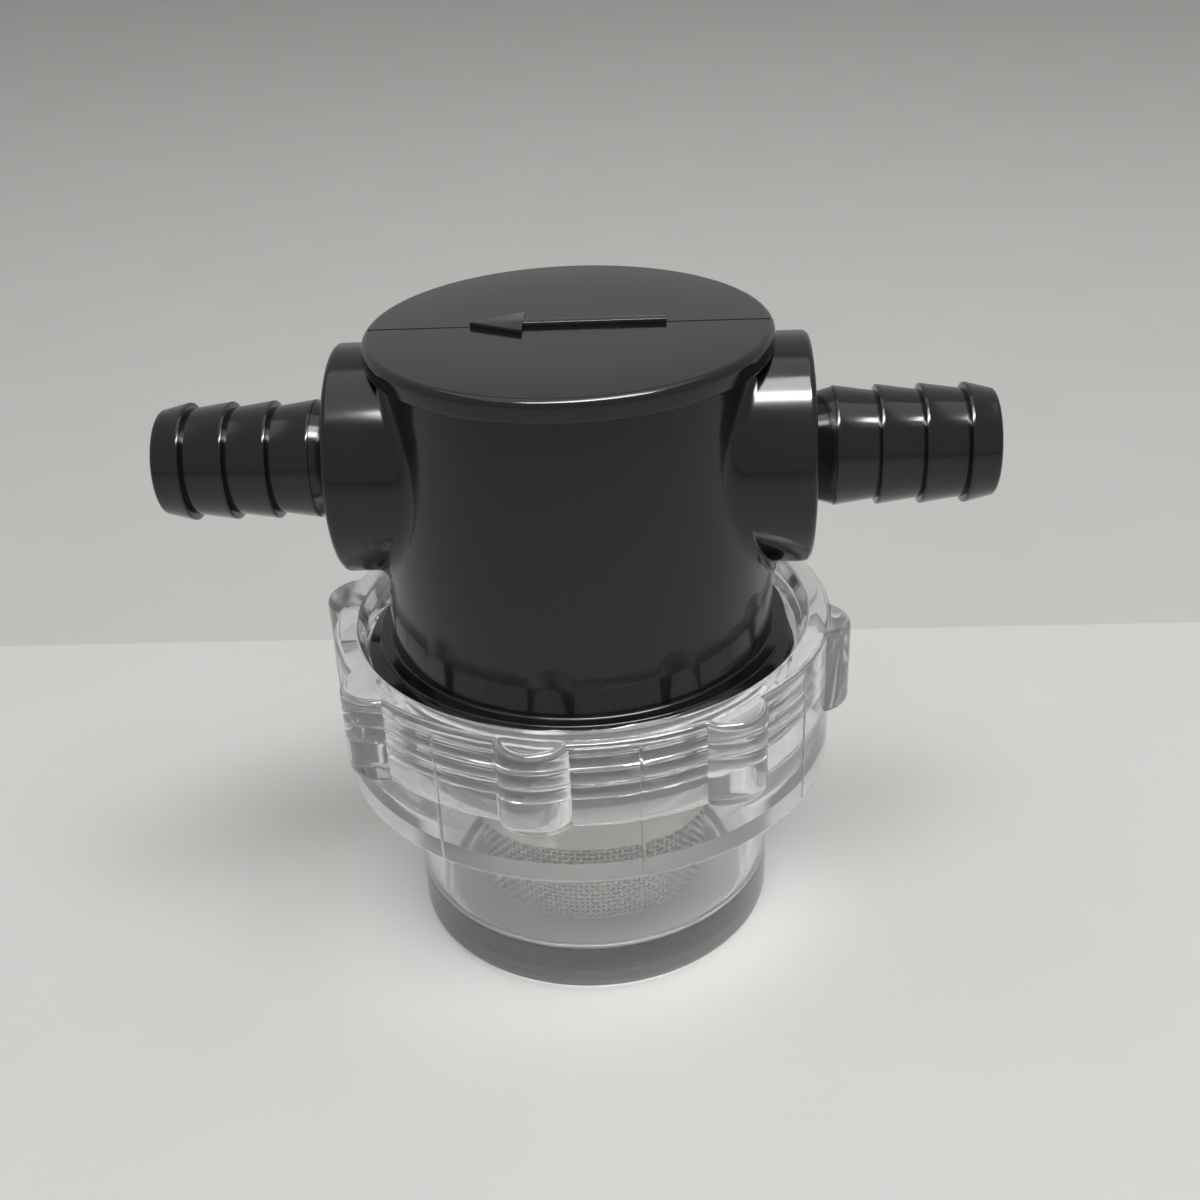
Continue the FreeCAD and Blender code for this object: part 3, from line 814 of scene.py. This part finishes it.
# ------------------------------------------------------------------ screen
def wire_tube(path, points, faces, closed=False, sides=4):
    """Add a thin tube along a path to lists of points and faces, closed on itself or capped."""
    first = len(points)
    total = len(path)
    radius = WIRE_THICK / 2
    for index, place in enumerate(path):
        before = path[index - 1] if closed or index else place
        after = path[(index + 1) % total] if closed or index < total - 1 else place
        along = (after - before).normalized()
        outward = Vector((place.x, place.y, 0)).normalized()
        if abs(along.dot(outward)) > 0.9 or outward.length < 0.5:
            outward = Vector((0, 0, 1))
        sideways = along.cross(outward).normalized()
        outward = sideways.cross(along)
        for side in range(sides):
            angle = TURN * (side + 0.5) / sides
            points.append(place + outward * (radius * math.cos(angle))
                          + sideways * (radius * math.sin(angle)))
    for index in range(total if closed else total - 1):
        here = first + index * sides
        there = first + (index + 1) % total * sides
        for side in range(sides):
            after = (side + 1) % sides
            faces.append((here + side, there + side, there + after, here + after))
    if not closed:
        faces.append(tuple(first + side for side in range(sides)))
        faces.append(tuple(first + (total - 1) * sides + side for side in reversed(range(sides))))


def woven_wall():
    """Plain weave rolled into a tube: upright wires cross the rings over and under in turn."""
    points, faces = [], []
    middle = SCREEN_RADIUS - WIRE_THICK
    count = 2 * round(TURN * middle / WIRE_PITCH / 2)
    low = SCREEN_LOW + WIRE_THICK / 2
    rings = int((SCREEN_HIGH - SCREEN_LOW) / WIRE_PITCH)
    sway = WIRE_THICK / 2
    for wire in range(count):
        angle = TURN * wire / count
        path = []
        for step in range(rings * 2 + 1):
            out = middle + sway * math.cos(math.pi * (step / 2 + wire))
            path.append(Vector((out * math.cos(angle), out * math.sin(angle),
                                low + step * WIRE_PITCH / 2)))
        wire_tube(path, points, faces)
    for ring in range(rings + 1):
        path = []
        for step in range(count * 2):
            angle = TURN * step / count / 2
            out = middle - sway * math.cos(math.pi * (step / 2 + ring))
            path.append(Vector((out * math.cos(angle), out * math.sin(angle),
                                low + ring * WIRE_PITCH)))
        wire_tube(path, points, faces, closed=True)
    return smooth(meshed("woven_screen_wall", points, faces), 80)


def woven_floor():
    """The same weave, flat, cut round for the screen's floor."""
    points, faces = [], []
    reach = SCREEN_RADIUS - WIRE_THICK
    middle = BASE_THICK + WIRE_THICK
    lines = int(reach / WIRE_PITCH)
    sway = WIRE_THICK / 2
    for along_x in (True, False):
        for line in range(-lines, lines + 1):
            across = line * WIRE_PITCH
            steps = int(math.sqrt(reach ** 2 - across ** 2) / WIRE_PITCH * 2)
            path = []
            for step in range(-steps, steps + 1):
                along = step * WIRE_PITCH / 2
                sign = 1 if along_x else -1
                up = middle + sign * sway * math.cos(math.pi * (step / 2 + line))
                place = (along, across, up) if along_x else (across, along, up)
                path.append(Vector(place))
            if len(path) > 2:
                wire_tube(path, points, faces)
    return smooth(meshed("woven_screen_floor", points, faces), 80)


def build_screen():
    """The woven wall and floor, and the plain strip folded over the wall's top."""
    dressed(woven_wall(), WIRE, "bowl", "stainless_steel", "screen_mesh")
    dressed(woven_floor(), WIRE, "bowl", "stainless_steel", "screen_base")
    outer = SCREEN_RADIUS + BAND_THICK
    inner = SCREEN_RADIUS - BAND_THICK
    beside = SCREEN_RADIUS + BAND_CLEAR
    section = [(beside, BAND_LOW + BAND_FOOT_CHAMFER)]
    section += arc(outer - BAND_FOOT_ROUND, BAND_LOW + BAND_FOOT_ROUND, BAND_FOOT_ROUND, -90, 0, 3)
    section += arc(outer - BAND_TOP_ROUND, BAND_HIGH - BAND_TOP_ROUND, BAND_TOP_ROUND, 0, 90, 5)
    section += [(inner + BAND_LIP_CHAMFER, BAND_HIGH), (inner, BAND_HIGH - BAND_LIP_CHAMFER),
                (inner, BAND_HIGH - BAND_THICK), (beside, BAND_HIGH - BAND_THICK)]
    band = spun("screen_strip", section, 128, closed=True)
    dressed(smooth(band), STRIP, "bowl", "stainless_steel", "screen_band")


build_bowl()
build_head()
build_tails()
build_seals()
build_screen()


# ------------------------------------------------------------------ stage
def lay_floor():
    """A white sheet under the strainer, and a greyer one that begins just behind it."""
    front = matt_sheet("matt_white_sheet", "#D0D0CE", "#D6D6D4")
    rear = matt_sheet("matt_grey_sheet", "#C2C2C0", "#C8C8C6")
    edge = SHEET_EDGE * MM
    for name, material, middle in (("front_sheet", front, edge - SHEET_SIZE / 2),
                                   ("rear_sheet", rear, edge + SHEET_SIZE / 2)):
        start_object()
        bpy.ops.mesh.primitive_plane_add(size=SHEET_SIZE, location=(0, middle, 0))
        sheet = named(name)
        sheet.data.materials.append(material)


def hang_lamp(name, place, aim, wide, high, power):
    """A soft rectangular lamp at a place in millimetres, turned to face a point."""
    data = bpy.data.lights.new(name, "AREA")
    data.shape = "RECTANGLE"
    data.size = wide * MM
    data.size_y = high * MM
    data.energy = power
    lamp = bpy.data.objects.new(name, data)
    bpy.context.collection.objects.link(lamp)
    lamp.location = Vector(place) * MM
    lamp.rotation_euler = (Vector(aim) - Vector(place)).to_track_quat("-Z", "Y").to_euler()
    return lamp


def light_room():
    """A pale room with two soft lamps overhead, and a strip that shows only in glossy surfaces.

    The walls show paler, to the eye and in the plastic, than the light they give."""
    world = bpy.data.worlds.new("room")
    bpy.context.scene.world = world
    world.use_nodes = True
    tree = world.node_tree
    tree.nodes.clear()
    ray = add_node(tree, "ShaderNodeLightPath")
    mirrored = add_node(tree, "ShaderNodeMath", {
        0: ray.outputs["Is Glossy Ray"], 1: ray.outputs["Is Transmission Ray"]}, operation="MAXIMUM")
    shown = add_node(tree, "ShaderNodeMath", {
        0: ray.outputs["Is Camera Ray"], 1: mirrored.outputs["Value"]}, operation="MAXIMUM")
    strength = add_node(tree, "ShaderNodeMapRange", {
        "Value": shown.outputs["Value"], "To Min": 0.5, "To Max": 0.64})
    background = add_node(tree, "ShaderNodeBackground", {
        "Color": linear("#D8D8D6"), "Strength": strength.outputs["Result"]})
    add_node(tree, "ShaderNodeOutputWorld", {"Surface": background.outputs["Background"]})
    hang_lamp("ceiling", (0, 0, 800), (0, 0, 0), wide=1000, high=800, power=2.2)
    hang_lamp("panel", (90, -110, 600), (0, 0, 60), wide=300, high=180, power=1.6)
    glint = hang_lamp("strip_glint", (65, -195, 600), (0, 0, 60), wide=530, high=90, power=4.2)
    glint.visible_diffuse = False


def aim_camera():
    """The camera looks down at the strainer from just right of its front, a little rolled."""
    azimuth = math.radians(2.947)
    elevation = math.radians(29.058)
    roll = math.radians(2.632)
    distance = 188.49
    target = Vector((2.241, 0, 43.059))
    back = Vector((math.sin(azimuth) * math.cos(elevation),
                   -math.cos(azimuth) * math.cos(elevation), math.sin(elevation)))
    right = (-back).cross(Vector((0, 0, 1))).normalized()
    up = right.cross(-back)
    across = right * math.cos(roll) - up * math.sin(roll)
    above = right * math.sin(roll) + up * math.cos(roll)
    data = bpy.data.cameras.new("camera")
    data.lens = 45.33
    data.sensor_width = 36
    data.clip_start = 0.005
    camera = bpy.data.objects.new("camera", data)
    bpy.context.collection.objects.link(camera)
    turn = Matrix((across, above, back)).transposed().to_4x4()
    camera.matrix_world = Matrix.Translation((target + back * distance) * MM) @ turn
    bpy.context.scene.camera = camera


lay_floor()
light_room()
aim_camera()
bpy.context.scene.view_settings.view_transform = "Standard"
